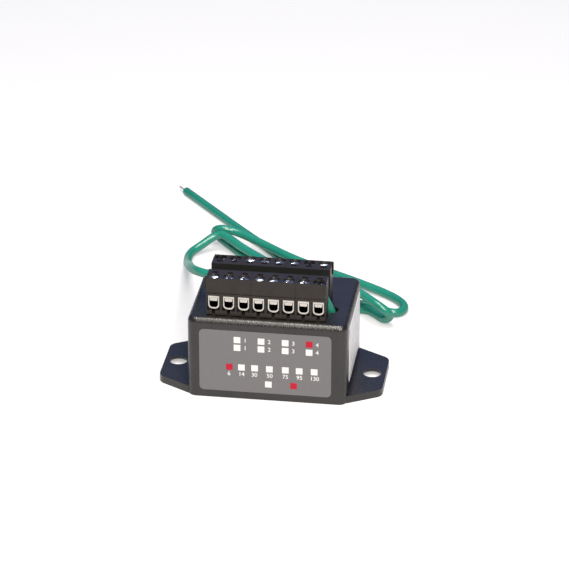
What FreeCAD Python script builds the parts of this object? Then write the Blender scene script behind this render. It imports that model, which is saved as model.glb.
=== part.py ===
"""Whole house surge protector: a potted box with two rows of screw terminals.

Frame: millimetres, +Z up, origin on the floor under the middle of the housing,
X along the terminal rows, the labelled front face towards -Y.
"""
import FreeCAD, Part
import math
import os
import Sketcher

Vector = FreeCAD.Vector
Rotation = FreeCAD.Rotation

SIZES = [
    # housing: a moulded box, open below, with one mounting ear at each end
    ("housing_width", 54.6, "box along X"),
    ("housing_depth", 40.1, "box along Y"),
    ("housing_height", 29.4, "floor to top face"),
    ("corner_radius", 3.0, "upright corners"),
    ("top_radius", 2.0, "rounding round the top face"),
    ("side_wall", 2.0, "box side walls"),
    ("top_wall", 1.8, "wall under the terminals"),
    ("ear_span", 77.1, "over both ears"),
    ("ear_root_half", 18.4, "half width of an ear at the box"),
    ("ear_tip_half", 11.7, "half width of an ear at its end"),
    ("ear_thickness", 2.66, "ear, floor to top"),
    ("ear_web", 1.1, "ear plate over its core"),
    ("ear_rim", 1.4, "wall round the core of an ear"),
    ("ear_tip_radius", 3.6, "outer corners of an ear"),
    ("mount_spacing", 67.5, "between the two mounting holes"),
    ("mount_hole_radius", 3.15, "mounting hole"),
    # terminal rows
    ("pole_pitch", 5.08, "between neighbouring poles"),
    ("row_centre", -0.77, "X of the middle of both rows"),
    ("front_set_back", 2.95, "front of the box to the front row's entry faces"),
    ("block_depth", 7.4, "entry face to back"),
    ("channel_width", 4.5, "between the backs of the two rows"),
    ("front_face", "=-housing_depth/2+front_set_back", "Y of the front row's entry faces"),
    ("rear_face", "=front_face+2*block_depth+channel_width", "Y of the rear row's entry faces"),
    ("channel_centre", "=front_face+block_depth+channel_width/2", "Y of the middle between the rows"),
    ("block_gap", 0.06, "between neighbouring blocks"),
    ("block_height", 13.45, "base to top"),
    ("foot_height", 0.35, "feet under the blocks"),
    ("foot_width", 1.0, "feet along the row"),
    ("foot_depth", 0.9, "feet across the row"),
    ("rear_foot", 6.3, "entry face to the rear feet"),
    ("ledge_height", 7.85, "base to the ledge over the wire entries"),
    ("ledge_depth", 0.28, "how far the upper band stands back"),
    ("entry_width", 4.4, "wire entry along the row"),
    ("entry_top", 7.0, "base to the top of a wire entry"),
    ("entry_sill", 1.55, "base to the bottom of a wire entry"),
    ("notch_top", 1.3, "notch in the sill, upper width"),
    ("notch_bottom", 0.9, "notch in the sill, lower width"),
    ("notch_floor", 0.2, "plastic left under the notch"),
    ("cavity_front", 0.7, "entry face to the clamp cavity"),
    ("cavity_play", 0.12, "round a wire clamp, each side"),
    ("lift_play", 0.2, "over a fully raised wire clamp"),
    # wire clamp: a small square tube that a screw lifts
    ("clamp_width", 3.75, "along the row"),
    ("clamp_front", 0.8, "entry face to clamp"),
    ("clamp_depth", 4.2, "across the row"),
    ("clamp_bottom", 1.85, "block base to the clamp, screw open"),
    ("clamp_height", 5.05, "bottom to top"),
    ("clamp_wall", 0.4, "sides of the tube"),
    ("clamp_floor", 0.6, "bottom wall under the wire"),
    ("clamp_roof", 1.0, "threaded top wall"),
    ("clamp_corner", 1.1, "inside corners of its floor"),
    ("clamp_travel", 2.0, "lift from open to closed"),
    # contact bar: a plate over the wire space with a leg to the board
    ("bar_width", 2.6, "plate along the row"),
    ("bar_front", 0.75, "entry face to the plate"),
    ("bar_under", 4.8, "block base to the underside of the plate"),
    ("bar_thickness", 1.05, "plate"),
    ("bar_bevel", 0.3, "under its long edges, clear of the clamp's round corners"),
    ("bar_roof_play", 0.05, "plate to the roof of an open clamp"),
    ("leg_front", 5.1, "entry face to the leg"),
    ("leg_thickness", 0.7, "leg across the row"),
    ("leg_play", 0.05, "round the leg in the block"),
    ("pin_width", 1.2, "solder pin along the row"),
    ("pin_play", 0.1, "round a pin in the top wall"),
    ("pin_tail", 0.7, "pin below the board"),
    # clamp screw, M2.5
    ("screw_axis", 2.35, "entry face to the screw axis"),
    ("well_radius", 1.95, "screw well"),
    ("head_radius", 1.83, "screw head"),
    ("head_recess", 0.6, "block top to the screw head"),
    ("head_height", 1.4, "screw head"),
    ("head_rest", 0.1, "head to the shoulder of its well"),
    ("shank_radius", 1.25, "threaded shank"),
    ("thread_play", 0.05, "shank in the clamp roof, radial"),
    ("plain_sides", 12, "sides of what stands for a thread or a hidden round"),
    ("passage_width", 2.7, "square passage for the shank"),
    ("shank_rest", 0.08, "shank end to the contact bar"),
    ("slot_width", 0.55, "driver slot"),
    ("slot_depth", 0.7, "driver slot"),
    ("cross_length", 2.5, "short arm of a combination slot"),
    # probe slot behind each screw
    ("probe_centre", 5.1, "entry face to the probe slot"),
    ("probe_length", 1.9, "along the row"),
    ("probe_width", 1.1, "across the row"),
    ("probe_floor", 0.5, "contact bar to the bottom of the slot"),
    # dovetail between blocks
    ("rib_front", 0.5, "entry face to the rib"),
    ("rib_depth", 1.4, "rib across the row, at its outer side"),
    ("rib_flare", 0.2, "how much the rib narrows at its root, each side"),
    ("rib_proud", 0.42, "rib out of the end face"),
    ("rib_height", 4.1, "rib down from the block top"),
    ("rib_play", 0.08, "rib in the groove"),
    # board, diodes and potting
    ("board_margin", 0.4, "board to the side walls"),
    ("board_thickness", 1.6, "circuit board"),
    ("diode_length", 7.0, "diode body along X"),
    ("diode_width", 5.9, "diode body along Y"),
    ("diode_height", 2.4, "diode body under the board"),
    ("diode_taper", 6.0, "draft of the diode body, degrees"),
    ("diode_pitch", 10.0, "between diodes along X"),
    ("diode_row_front", 4.0, "Y of the front row of diodes"),
    ("diode_row_rear", 12.0, "Y of the rear row of diodes"),
    ("tab_width", 3.0, "diode tab along Y"),
    ("tab_reach", 0.45, "diode tab past the body"),
    ("tab_height", 1.5, "diode tab under the board"),
    ("potting_floor", 0.5, "floor to the potting"),
    # ground wire
    ("wire_radius", 1.55, "over the insulation"),
    ("wire_sides", 8, "flats of the plain tube that stands for the free wire"),
    ("wire_corner", 0.04, "its corners past the round wire"),
    ("core_radius", 0.7, "copper through the board"),
    ("core_play", 0.65, "round the copper in the board"),
    ("wire_hole_radius", 2.4, "hole in the top wall"),
    ("wire_hole_edge", 6.9, "side of the box to the middle of the wire's hole"),
    ("wire_exit_edge", 7.5, "side of the box to the wire where it comes out"),
    ("wire_exit_shift", 0.45, "middle between the rows to the wire and its hole, to the rear"),
    ("tail_depth", 1.0, "insulation down into the hole"),
    ("core_depth", 4.0, "copper down into the potting"),
    ("strand_radius", 0.38, "bare strands at the far end"),
    ("strand_length", 5.6, "bare strands at the far end"),
    # paper labels
    ("label_thickness", 0.12, "paper"),
    ("front_label_left", -23.05, "X of its left edge"),
    ("front_label_width", 45.05, "along X"),
    ("front_label_low", 2.7, "Z of its lower edge"),
    ("front_label_tall", 22.9, "along Z"),
    ("side_label_front", -14.0, "Y of its front edge"),
    ("side_label_width", 29.8, "along Y"),
    ("side_label_low", 5.5, "Z of its lower edge"),
    ("side_label_tall", 20.6, "along Z"),
]

# Each row's blocks from left to right. Every pole of a block has the rest angle of
# its screw's slot in degrees, and whether that screw has a cross slot too.
FRONT_ROW = [
    ("left", [(4, False), (52, True), (28, True)]),
    ("centre", [(2, False), (24, False), (40, True)]),
    ("right", [(18, True), (66, True)]),
]
REAR_ROW = [
    ("left", [(75, True), (38, True)]),
    ("centre", [(3, False), (58, True), (30, False)]),
    ("right", [(22, False), (48, True), (14, False)]),
]
POLES = sum(len(screws) for place, screws in FRONT_ROW)

# Centre line of the ground wire: out of its hole, along the channel, down at
# the left, under itself, behind the box, then two flat loops and the free end.
WIRE_ROUTE = [
    (19.8, -7.0, 29.4), (18.8, -7.0, 31.6), (16.6, -7.3, 36.0), (10.0, -7.45, 39.4),
    (-1.0, -7.45, 40.3), (-12.5, -7.45, 40.1), (-21.85, -7.5, 39.9), (-27.6, -1.2, 38.2),
    (-31.4, 13.0, 32.3), (-35.2, 33.0, 23.3), (-39.4, 54.5, 13.2), (-43.2, 74.0, 4.4),
    (-45.0, 88.0, 1.6), (-41.4, 92.3, 2.9), (-35.3, 96.9, 6.5), (-31.1, 94.1, 6.5),
    (-24.9, 88.0, 5.2), (-13.3, 84.8, 3.5), (2.4, 64.3, 2.2), (15.6, 60.4, 1.6),
    (27.4, 54.2, 1.7), (33.5, 48.9, 2.0), (37.9, 49.1, 1.6), (39.8, 53.7, 1.6),
    (37.7, 58.8, 1.6), (31.7, 63.9, 1.9), (20.4, 69.9, 2.8), (6.6, 76.0, 4.1),
    (-6.5, 82.7, 5.1), (-18.0, 92.3, 5.5), (-28.1, 99.5, 6.2), (-34.8, 98.7, 8.0),
    (-37.9, 101.3, 5.1), (-35.1, 102.5, 1.6), (-26.1, 91.3, 1.6), (-10.2, 69.1, 1.6),
    (4.6, 59.8, 1.6), (17.2, 53.9, 1.6), (26.1, 50.8, 1.6), (29.8, 47.5, 1.6),
    (33.3, 43.2, 1.6), (35.7, 41.6, 3.8), (34.6, 39.8, 6.7), (28.5, 42.3, 9.5),
    (18.7, 56.4, 7.9), (9.8, 64.9, 4.7), (0.2, 73.6, 2.0), (-14.5, 94.6, 1.6),
    (-27.5, 109.6, 1.6), (-41.6, 127.0, 1.6), (-55.5, 144.2, 1.6),
]

doc = FreeCAD.newDocument("SurgeProtector")
sheet = doc.addObject("Spreadsheet::Sheet", "sizes")
for row, (alias, value, note) in enumerate(SIZES, start=1):
    sheet.set("A%d" % row, alias)
    sheet.set("B%d" % row, str(value))
    sheet.set("C%d" % row, note)
    sheet.setAlias("B%d" % row, alias)
doc.recompute()

parts = []


def size(name):
    """One value of the sheet as a plain number."""
    return float(sheet.get(name))


def bound(text):
    """A formula over sheet names, as the expression that FreeCAD binds."""
    words = sorted((alias for alias, value, note in SIZES), key=len, reverse=True)
    out = ""
    rest = text
    while rest:
        word = next((w for w in words if rest.startswith(w)), None)
        inside = bool(out) and (out[-1].isalnum() or out[-1] in "_.")
        if word and not inside:
            out += "sizes." + word
            rest = rest[len(word):]
        else:
            out += rest[0]
            rest = rest[1:]
    return out


def new_body(label, position=Vector(0, 0, 0), angle=0.0, many=False):
    """A PartDesign body, placed and turned about Z."""
    body = doc.addObject("PartDesign::Body", label)
    body.Label = label
    body.AllowCompound = many
    body.Placement = FreeCAD.Placement(position, Rotation(Vector(0, 0, 1), angle))
    return body


def origin_feature(body, role):
    return next(item for item in body.Origin.OriginFeatures if item.Role == role)


def new_sketch(body, plane, offset="0"):
    """A sketch on one of the body's own planes, moved along its normal."""
    sketch = body.newObject("Sketcher::SketchObject", body.Name + "_sketch")
    sketch.AttachmentSupport = [(origin_feature(body, plane), "")]
    sketch.MapMode = "FlatFace"
    sketch.setExpression(".AttachmentOffset.Base.z", bound(offset))
    return sketch


def drive(sketch, kind, geometry, formula):
    """Tie one coordinate of a vertex or centre to a formula."""
    value = float(sketch.evalExpression(bound(formula)))
    point = 3 if kind[0] == "centre" else 1
    number = sketch.addConstraint(Sketcher.Constraint(kind[1], -1, 1, geometry, point, value))
    sketch.setExpression("Constraints[%d]" % number, bound(formula))


def outline(sketch, points):
    """A closed polygon whose corners are formulas over the sheet."""
    first = sketch.GeometryCount
    corners = [Vector(*[float(sketch.evalExpression(bound(part))) for part in point])
               for point in points]
    count = len(points)
    for i in range(count):
        sketch.addGeometry(Part.LineSegment(corners[i], corners[(i + 1) % count]))
    for i in range(count):
        after = first + (i + 1) % count
        sketch.addConstraint(Sketcher.Constraint("Coincident", first + i, 2, after, 1))
    for i, (across, up) in enumerate(points):
        drive(sketch, ("corner", "DistanceX"), first + i, across)
        drive(sketch, ("corner", "DistanceY"), first + i, up)


def rectangle(sketch, left, low, width, height):
    right = "(%s)+(%s)" % (left, width)
    high = "(%s)+(%s)" % (low, height)
    outline(sketch, [(left, low), (right, low), (right, high), (left, high)])


def circle(sketch, across, up, radius):
    """A circle whose centre and radius are formulas over the sheet."""
    value = float(sketch.evalExpression(bound(radius)))
    number = sketch.addGeometry(Part.Circle(Vector(0, 0, 0), Vector(0, 0, 1), value))
    drive(sketch, ("centre", "DistanceX"), number, across)
    drive(sketch, ("centre", "DistanceY"), number, up)
    limit = sketch.addConstraint(Sketcher.Constraint("Radius", number, value))
    sketch.setExpression("Constraints[%d]" % limit, bound(radius))


def many_sided(sketch, across, up, radius):
    """The plain polygon that stands for a threaded or hidden round, over its corners."""
    sides = int(size("plain_sides"))
    corners = []
    for i in range(sides):
        angle = 2 * math.pi * i / sides
        corners.append(("(%s)+(%s)*%.9f" % (across, radius, math.cos(angle)),
                        "(%s)+(%s)*%.9f" % (up, radius, math.sin(angle))))
    outline(sketch, corners)


def pad(body, sketch, length, reverse=False, taper=None):
    feature = body.newObject("PartDesign::Pad", body.Name + "_pad")
    feature.Profile = sketch
    feature.setExpression("Length", bound(length))
    feature.Reversed = reverse
    if taper:
        feature.setExpression("TaperAngle", bound(taper))
    body.Tip = feature
    return feature


def pocket(body, sketch, depth, reverse=False):
    """A pocket that has to take material away."""
    doc.recompute()
    before = body.Tip.Shape.Volume
    feature = body.newObject("PartDesign::Pocket", body.Name + "_pocket")
    feature.Profile = sketch
    feature.setExpression("Length", bound(depth))
    feature.Reversed = reverse
    body.Tip = feature
    doc.recompute()
    if feature.Shape.Volume > before - 1e-4:
        raise RuntimeError("a pocket of %s cuts nothing" % body.Label)
    return feature


def repeat(body, features, count, pitch="pole_pitch"):
    """The same features again along X."""
    pattern = body.newObject("PartDesign::LinearPattern", body.Name + "_pattern")
    pattern.Originals = features
    pattern.Direction = (origin_feature(body, "X_Axis"), [""])
    pattern.setExpression("Length", bound("(%s)*%d" % (pitch, count - 1)))
    pattern.Occurrences = count
    body.Tip = pattern
    doc.recompute()


def round_edges(body, radius, wanted):
    """Round the edges that a test of their two ends picks out."""
    doc.recompute()
    base = body.Tip
    names = []
    for number, edge in enumerate(base.Shape.Edges, start=1):
        ends = [vertex.Point for vertex in edge.Vertexes]
        if wanted(edge, ends):
            names.append("Edge%d" % number)
    feature = body.newObject("PartDesign::Fillet", body.Name + "_edges")
    feature.Base = (base, names)
    feature.setExpression("Radius", bound(radius))
    body.Tip = feature
    doc.recompute()


def upright(edge, ends):
    """True for an edge along Z."""
    return len(ends) == 2 and abs(ends[0].z - ends[1].z) > 0.5 and \
        math.hypot(ends[0].x - ends[1].x, ends[0].y - ends[1].y) < 1e-6


def pole_place(pole):
    """X of a pole's middle; poles count 1 to 8 from the left."""
    return size("row_centre") + (pole - (POLES + 1) / 2) * size("pole_pitch")


def block_base():
    return size("housing_height") + size("foot_height")


def housing():
    """The moulded box with its ears, wire hole and pin holes."""
    body = new_body("housing")
    box = new_sketch(body, "XY_Plane")
    rectangle(box, "-housing_width/2", "-housing_depth/2", "housing_width", "housing_depth")
    pad(body, box, "housing_height")
    round_edges(body, "corner_radius", upright)
    top = size("housing_height")
    round_edges(body, "top_radius", lambda edge, ends: all(abs(p.z - top) < 1e-6 for p in ends))

    ear = new_sketch(body, "XY_Plane")
    for side in ("", "-"):
        outline(ear, [(side + "(housing_width/2-side_wall)", "-ear_root_half"),
                      (side + "housing_width/2", "-ear_root_half"),
                      (side + "ear_span/2", "-ear_tip_half"),
                      (side + "ear_span/2", "ear_tip_half"),
                      (side + "housing_width/2", "ear_root_half"),
                      (side + "(housing_width/2-side_wall)", "ear_root_half")])
    pad(body, ear, "ear_thickness")
    tip = size("ear_span") / 2
    round_edges(body, "ear_tip_radius",
                lambda edge, ends: upright(edge, ends) and abs(abs(ends[0].x) - tip) < 1e-6)

    room = new_sketch(body, "XY_Plane")
    rectangle(room, "-housing_width/2+side_wall", "-housing_depth/2+side_wall",
              "housing_width-2*side_wall", "housing_depth-2*side_wall")
    pocket(body, room, "housing_height-top_wall", reverse=True)
    inner = size("housing_width") / 2 - size("side_wall")
    round_edges(body, "corner_radius-side_wall",
                lambda edge, ends: upright(edge, ends) and abs(abs(ends[0].x) - inner) < 1e-6
                and abs(ends[0].z - ends[1].z) > size("ear_thickness"))

    slope = "((ear_root_half-ear_tip_half)/(ear_span/2-housing_width/2))"
    inset = "(ear_rim*sqrt(1+%s^2))" % slope
    root = "(ear_root_half-%s)" % inset
    end = "(ear_tip_half+%s*ear_rim-%s)" % (slope, inset)
    core = new_sketch(body, "XY_Plane")
    for side in ("", "-"):
        outline(core, [(side + "housing_width/2", "-" + root),
                       (side + "(ear_span/2-ear_rim)", "-" + end),
                       (side + "(ear_span/2-ear_rim)", end),
                       (side + "housing_width/2", root)])
    pocket(body, core, "ear_thickness-ear_web", reverse=True)
    hole = new_sketch(body, "XY_Plane")
    for side in ("", "-"):
        circle(hole, side + "mount_spacing/2", "0", "mount_hole_radius")
    pocket(body, hole, "ear_thickness", reverse=True)

    openings = new_sketch(body, "XY_Plane", "housing_height")
    circle(openings, "housing_width/2-wire_hole_edge", "channel_centre+wire_exit_shift",
           "wire_hole_radius")
    pocket(body, openings, "top_wall")
    first = "row_centre-%s*pole_pitch-pin_width/2-pin_play" % ((POLES - 1) / 2)
    pins = new_sketch(body, "XY_Plane", "housing_height")
    for low in ("front_face+leg_front", "rear_face-leg_front-leg_thickness"):
        rectangle(pins, first, low + "-pin_play", "pin_width+2*pin_play", "leg_thickness+2*pin_play")
    repeat(body, [pocket(body, pins, "top_wall")], POLES)
    parts.append(body)


def terminal_block(label, position, angle, count):
    """One moulded block, entry face at Y = 0, base at Z = 0, X from its middle."""
    body = new_body(label, position, angle)
    half = "(%d*pole_pitch-block_gap)/2" % count
    first = "(-%s*pole_pitch)" % ((count - 1) / 2)
    side = new_sketch(body, "YZ_Plane", "-" + half)
    outline(side, [("0", "0"), ("0", "ledge_height"), ("ledge_depth", "ledge_height"),
                   ("ledge_depth", "block_height"), ("block_depth", "block_height"),
                   ("block_depth", "0")])
    pad(body, side, "2*" + half)

    rib_low = "block_height-rib_height"
    rib = new_sketch(body, "XY_Plane", rib_low)
    outline(rib, [("-" + half, "rib_front+rib_flare"), ("-" + half + "-rib_proud", "rib_front"),
                  ("-" + half + "-rib_proud", "rib_front+rib_depth"),
                  ("-" + half, "rib_front+rib_depth-rib_flare")])
    pad(body, rib, "rib_height")
    groove = new_sketch(body, "XY_Plane", "block_height")
    outline(groove, [(half, "rib_front+rib_flare-rib_play"),
                     (half + "-rib_proud-rib_play+block_gap", "rib_front-rib_play"),
                     (half + "-rib_proud-rib_play+block_gap", "rib_front+rib_depth+rib_play"),
                     (half, "rib_front+rib_depth-rib_flare+rib_play")])
    pocket(body, groove, "rib_height+rib_play")

    feet = new_sketch(body, "XY_Plane")
    rectangle(feet, first + "-foot_width/2", "0", "foot_width", "foot_depth")
    rectangle(feet, first + "-foot_width/2", "rear_foot", "foot_width", "foot_depth")
    standing = pad(body, feet, "foot_height", reverse=True)

    entry = new_sketch(body, "XZ_Plane")
    rectangle(entry, first + "-entry_width/2", "entry_sill", "entry_width",
              "entry_top-entry_sill")
    opening = pocket(body, entry, "cavity_front")
    room = new_sketch(body, "XZ_Plane", "-cavity_front")
    rectangle(room, first + "-clamp_width/2-cavity_play", "entry_sill", "clamp_width+2*cavity_play",
              "clamp_bottom+clamp_height+clamp_travel+lift_play-entry_sill")
    cavity = pocket(body, room, "clamp_front+clamp_depth+cavity_play-cavity_front")
    notch = new_sketch(body, "XZ_Plane")
    outline(notch, [(first + "-notch_top/2", "entry_sill"), (first + "-notch_bottom/2", "notch_floor"),
                    (first + "+notch_bottom/2", "notch_floor"), (first + "+notch_top/2", "entry_sill")])
    groove_cut = pocket(body, notch, "clamp_front+clamp_depth+cavity_play")

    well = new_sketch(body, "XY_Plane", "block_height")
    circle(well, first, "screw_axis", "well_radius")
    round_well = pocket(body, well, "head_recess+head_height+head_rest")
    way = new_sketch(body, "XY_Plane", "block_height")
    rectangle(way, first + "-passage_width/2", "screw_axis-passage_width/2",
              "passage_width", "passage_width")
    passage = pocket(body, way, "block_height-clamp_bottom-clamp_height-clamp_travel-lift_play")
    slot = new_sketch(body, "XY_Plane", "block_height")
    rectangle(slot, first + "-probe_length/2", "probe_centre-probe_width/2",
              "probe_length", "probe_width")
    probe = pocket(body, slot, "block_height-bar_under-bar_thickness-probe_floor")
    leg = new_sketch(body, "XY_Plane")
    rectangle(leg, first + "-bar_width/2-leg_play", "leg_front-leg_play",
              "bar_width+2*leg_play", "leg_thickness+2*leg_play")
    shaft = pocket(body, leg, "bar_under+bar_thickness+leg_play", reverse=True)
    repeat(body, [standing, opening, cavity, groove_cut, round_well, passage, probe, shaft], count)
    parts.append(body)


def contact_bars(label, position, angle, count):
    """The bars of one block: a plate over each wire space, its leg and its pin."""
    body = new_body(label, position, angle, many=True)
    first = "(-%s*pole_pitch)" % ((count - 1) / 2)
    front = new_sketch(body, "XZ_Plane", "-bar_front")
    outline(front, [(first + "-bar_width/2", "bar_under+bar_bevel"),
                    (first + "-bar_width/2+bar_bevel", "bar_under"),
                    (first + "+bar_width/2-bar_bevel", "bar_under"),
                    (first + "+bar_width/2", "bar_under+bar_bevel"),
                    (first + "+bar_width/2", "bar_under+bar_thickness"),
                    (first + "-bar_width/2", "bar_under+bar_thickness")])
    plate = pad(body, front, "leg_front+leg_thickness-bar_front", reverse=True)
    back = new_sketch(body, "XY_Plane")
    rectangle(back, first + "-bar_width/2", "leg_front", "bar_width", "leg_thickness")
    leg = pad(body, back, "bar_under+bar_thickness")
    foot = new_sketch(body, "XY_Plane")
    rectangle(foot, first + "-pin_width/2", "leg_front", "pin_width", "leg_thickness")
    pin = pad(body, foot, "foot_height+top_wall+board_thickness+pin_tail", reverse=True)
    repeat(body, [plate, leg, pin], count)
    parts.append(body)


def wire_clamp(label, position, angle):
    """The square tube that lifts the wire against its contact bar."""
    body = new_body(label, position, angle)
    face = new_sketch(body, "XZ_Plane", "-clamp_front")
    rectangle(face, "-clamp_width/2", "clamp_bottom", "clamp_width", "clamp_height")
    pad(body, face, "clamp_depth", reverse=True)
    under = size("clamp_bottom")
    round_edges(body, "clamp_corner+clamp_wall",
                lambda edge, ends: all(abs(p.z - under) < 1e-6 for p in ends)
                and abs(ends[0].x - ends[1].x) < 1e-6)
    way = new_sketch(body, "XZ_Plane", "-clamp_front")
    rectangle(way, "-clamp_width/2+clamp_wall", "clamp_bottom+clamp_floor", "clamp_width-2*clamp_wall",
              "clamp_height-clamp_floor-clamp_roof")
    pocket(body, way, "clamp_depth")
    inner = size("clamp_bottom") + size("clamp_floor")
    half = size("clamp_width") / 2 - size("clamp_wall")
    round_edges(body, "clamp_corner",
                lambda edge, ends: all(abs(p.z - inner) < 1e-6 and abs(abs(p.x) - half) < 1e-6
                                       for p in ends) and abs(ends[0].x - ends[1].x) < 1e-6)
    thread = new_sketch(body, "XY_Plane", "clamp_bottom+clamp_height")
    many_sided(thread, "0", "screw_axis", "(shank_radius+thread_play)/cos(180deg/plain_sides)")
    pocket(body, thread, "clamp_roof")
    parts.append(body)


def clamp_screw(label, position, angle, cross):
    """A slotted M2.5 screw, origin on its axis at the block's base height."""
    body = new_body(label, position, angle)
    head_top = "block_height-head_recess"
    shank = new_sketch(body, "XY_Plane", "bar_under+bar_thickness+shank_rest")
    many_sided(shank, "0", "0", "shank_radius")
    pad(body, shank, head_top + "-head_height-bar_under-bar_thickness-shank_rest")
    head = new_sketch(body, "XY_Plane", head_top + "-head_height")
    circle(head, "0", "0", "head_radius")
    pad(body, head, "head_height")
    slot = new_sketch(body, "XY_Plane", head_top)
    rectangle(slot, "-head_radius-slot_width", "-slot_width/2", "2*(head_radius+slot_width)", "slot_width")
    pocket(body, slot, "slot_depth")
    if cross:
        arm = new_sketch(body, "XY_Plane", head_top)
        rectangle(arm, "-slot_width/2", "-cross_length/2", "slot_width", "cross_length")
        pocket(body, arm, "slot_depth")
    parts.append(body)


def terminal_row(row, blocks, face, angle):
    """Blocks, bars, clamps and screws of one row; the rear row is turned round."""
    inward = 1 if angle == 0 else -1
    pole = 0
    for place, screws in blocks:
        count = len(screws)
        middle = (pole_place(pole + 1) + pole_place(pole + count)) / 2
        position = Vector(middle, face, block_base())
        terminal_block("terminal_block_%s_%s" % (row, place), position, angle, count)
        contact_bars("contact_bars_%s_%s" % (row, place), position, angle, count)
        for turn, cross in screws:
            pole += 1
            across = pole_place(pole)
            wire_clamp("wire_clamp_%s_%d" % (row, pole), Vector(across, face, block_base()), angle)
            axis = Vector(across, face + inward * size("screw_axis"), block_base())
            clamp_screw("clamp_screw_%s_%d" % (row, pole), axis, turn, cross)


def circuit_board():
    """The board under the top wall, drilled for the pins and the ground wire."""
    body = new_body("circuit_board")
    under = "housing_height-top_wall-board_thickness"
    plate = new_sketch(body, "XY_Plane", under)
    rectangle(plate, "-housing_width/2+side_wall+board_margin",
              "-housing_depth/2+side_wall+board_margin",
              "housing_width-2*(side_wall+board_margin)", "housing_depth-2*(side_wall+board_margin)")
    pad(body, plate, "board_thickness")
    inner = size("housing_width") / 2 - size("side_wall") - size("board_margin")
    round_edges(body, "corner_radius-side_wall",
                lambda edge, ends: upright(edge, ends) and abs(abs(ends[0].x) - inner) < 1e-6)
    wire = new_sketch(body, "XY_Plane", "housing_height-top_wall")
    lean = "(top_wall+board_thickness/2)*%.9f" % wire_lean()
    many_sided(wire, "housing_width/2-wire_exit_edge+" + lean, "channel_centre+wire_exit_shift",
               "core_radius+core_play")
    pocket(body, wire, "board_thickness")
    pins = new_sketch(body, "XY_Plane", "housing_height-top_wall")
    first = "row_centre-%s*pole_pitch-pin_width/2" % ((POLES - 1) / 2)
    for low in ("front_face+leg_front", "rear_face-leg_front-leg_thickness"):
        rectangle(pins, first, low, "pin_width", "leg_thickness")
    repeat(body, [pocket(body, pins, "board_thickness")], POLES)
    parts.append(body)


def suppressor_diodes():
    """Eight surface-mount diodes under the board, each with a tab at both ends."""
    body = new_body("suppressor_diodes", many=True)
    under = "housing_height-top_wall-board_thickness"
    bodies = new_sketch(body, "XY_Plane", under)
    tabs = new_sketch(body, "XY_Plane", under)
    for row in ("diode_row_front", "diode_row_rear"):
        left = "row_centre-1.5*diode_pitch-diode_length/2"
        rectangle(bodies, left, row + "-diode_width/2", "diode_length", "diode_width")
        rectangle(tabs, left + "-tab_reach", row + "-tab_width/2",
                  "diode_length+2*tab_reach", "tab_width")
    block = pad(body, bodies, "diode_height", reverse=True, taper="-diode_taper")
    strap = pad(body, tabs, "tab_height", reverse=True)
    repeat(body, [block, strap], 4, "diode_pitch")
    parts.append(body)
    return body


def wire_lean():
    """How far the wire's inner end leans along X for each millimetre down."""
    (first, out) = WIRE_ROUTE[:2]
    return (first[0] - out[0]) / (out[2] - first[2])


def wire_point(depth):
    """Where the wire's inner end is, some way down from the top of the box."""
    across = size("housing_width") / 2 - size("wire_exit_edge") + wire_lean() * depth
    along = size("channel_centre") + size("wire_exit_shift")
    return Vector(across, along, size("housing_height") - depth)


def rod(name, start, finish, radius):
    """A straight piece of the plain wire between two points, over its corners."""
    item = doc.addObject("Part::Prism", name)
    item.Polygon = int(size("wire_sides"))
    item.setExpression("Circumradius", bound(radius))
    item.Height = (finish - start).Length
    along = Rotation(Vector(0, 0, 1), finish - start)
    half_side = Rotation(Vector(0, 0, 1), 180 / item.Polygon)
    item.Placement = FreeCAD.Placement(start, along.multiply(half_side))
    return item


def ground_wire_tail():
    """The wire's inner end: insulation in the top wall, copper through the board."""
    sleeve_end = wire_point(size("tail_depth"))
    sleeve = rod("tail_sleeve", wire_point(0), sleeve_end, "wire_radius+wire_corner")
    core = rod("tail_core", sleeve_end, wire_point(size("core_depth")), "core_radius")
    tail = doc.addObject("Part::Fuse", "ground_wire_tail")
    tail.Base = sleeve
    tail.Tool = core
    tail.Label = "ground_wire_tail"
    parts.append(tail)
    return tail


def potting(tools):
    """The fill of the housing, moulded round what hangs under the board."""
    body = new_body("potting_fill")
    room = new_sketch(body, "XY_Plane", "potting_floor")
    rectangle(room, "-housing_width/2+side_wall", "-housing_depth/2+side_wall",
              "housing_width-2*side_wall", "housing_depth-2*side_wall")
    pad(body, room, "housing_height-top_wall-board_thickness-potting_floor")
    round_edges(body, "corner_radius-side_wall", upright)
    inside = doc.addObject("Part::Compound", "potted_pieces")
    inside.Links = tools
    fill = doc.addObject("Part::Cut", "potting_compound")
    fill.Base = body
    fill.Tool = inside
    fill.Label = "potting_compound"
    parts.append(fill)


def label(name, corner, width, depth, height):
    """A paper label as a thin box, its sizes and place bound to the sheet."""
    item = doc.addObject("Part::Box", name)
    item.Label = name
    item.setExpression("Length", bound(width))
    item.setExpression("Width", bound(depth))
    item.setExpression("Height", bound(height))
    for letter, formula in zip("xyz", corner):
        item.setExpression(".Placement.Base." + letter, bound(formula))
    parts.append(item)


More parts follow.
